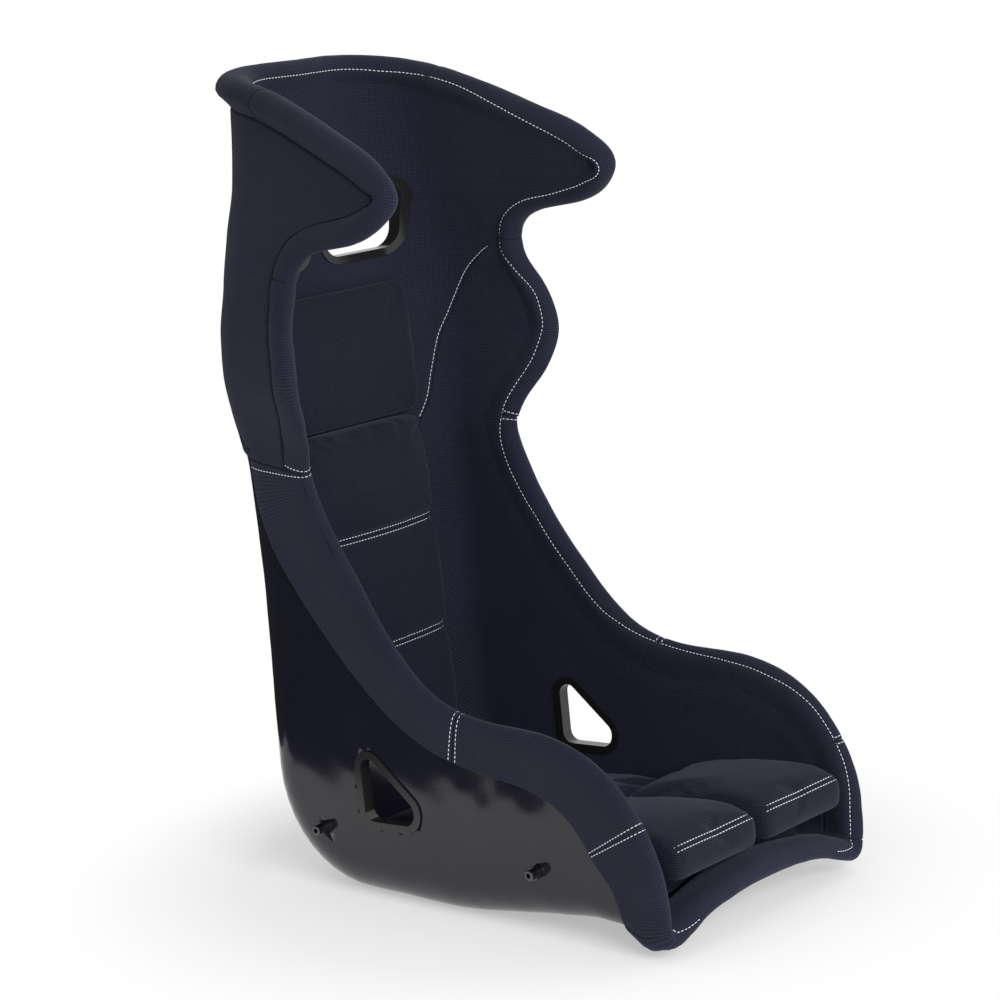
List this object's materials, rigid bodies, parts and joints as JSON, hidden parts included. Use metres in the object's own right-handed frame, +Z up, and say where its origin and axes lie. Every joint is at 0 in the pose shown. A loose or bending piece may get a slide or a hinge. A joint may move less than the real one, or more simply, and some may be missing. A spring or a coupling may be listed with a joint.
{
  "type": "racing seat",
  "caption": "Fixed-back racing seat with a moulded bucket shell, head wings, harness slots, padded rim and removable cushions, fastened at its sides.",
  "frame": {"origin": "on the floor plane, midway between the four side fixings", "axes": "+X to the sitter's left, +Y from the front of the seat to its back, +Z up"},
  "size_m": [0.524, 0.7311, 1.0222],
  "materials": {
    "gelcoat": "black gelcoat over glass-fibre laminate, high gloss",
    "slot_liner": "black moulded plastic, gloss",
    "insert_steel": "dark zinc-plated steel",
    "bolt_steel": "dark steel",
    "hook_tape": "black hook-and-loop tape",
    "trim_fabric": "near-black navy spacer knit over foam",
    "cushion_fabric": "near-black navy spacer knit over foam"
  },
  "bodies": {
    "seat": {"back_liner": "trim_fabric", "base_foam": "trim_fabric", "crotch_slot_liner": "slot_liner", "front_lip": "trim_fabric", "front_roll_left": "trim_fabric", "front_roll_right": "trim_fabric", "halo_roll": "trim_fabric", "head_liner": "trim_fabric", "lap_slot_liner_left": "slot_liner", "lap_slot_liner_right": "slot_liner", "lumbar_tapes": "hook_tape", "outer_cover_left": "trim_fabric", "outer_cover_right": "trim_fabric", "seat_tapes": "hook_tape", "shell": "gelcoat", "shoulder_roll_left": "trim_fabric", "shoulder_roll_right": "trim_fabric", "shoulder_slot_liner_left": "slot_liner", "shoulder_slot_liner_right": "slot_liner", "side_bolts": "bolt_steel", "side_inserts": "insert_steel", "side_liner_left": "trim_fabric", "side_liner_right": "trim_fabric", "side_washers": "bolt_steel", "thigh_pad_tapes": "hook_tape", "thigh_roll_left": "trim_fabric", "thigh_roll_right": "trim_fabric", "torso_roll_left": "trim_fabric", "torso_roll_right": "trim_fabric", "upper_back_pad": "cushion_fabric", "wing_roll_left": "trim_fabric", "wing_roll_right": "trim_fabric"},
    "lumbar_cushion_body": {"lumbar_cushion": "cushion_fabric"},
    "seat_cushion_body": {"seat_cushion": "cushion_fabric"},
    "thigh_pad_left_body": {"thigh_pad_left": "cushion_fabric"},
    "thigh_pad_right_body": {"thigh_pad_right": "cushion_fabric"}
  },
  "joints": [
    {"name": "lumbar_cushion_removal", "type": "slide", "parent": "seat", "child": "lumbar_cushion_body", "axis": [0, -1, 0], "range_m": [0, 0.045]},
    {"name": "seat_cushion_removal", "type": "slide", "parent": "seat", "child": "seat_cushion_body", "axis": [0, 0, 1], "range_m": [0, 0.1]},
    {"name": "thigh_pad_left_removal", "type": "slide", "parent": "seat", "child": "thigh_pad_left_body", "axis": [0, 0, 1], "range_m": [0, 0.1]},
    {"name": "thigh_pad_right_removal", "type": "slide", "parent": "seat", "child": "thigh_pad_right_body", "axis": [0, 0, 1], "range_m": [0, 0.1]}
  ]
}
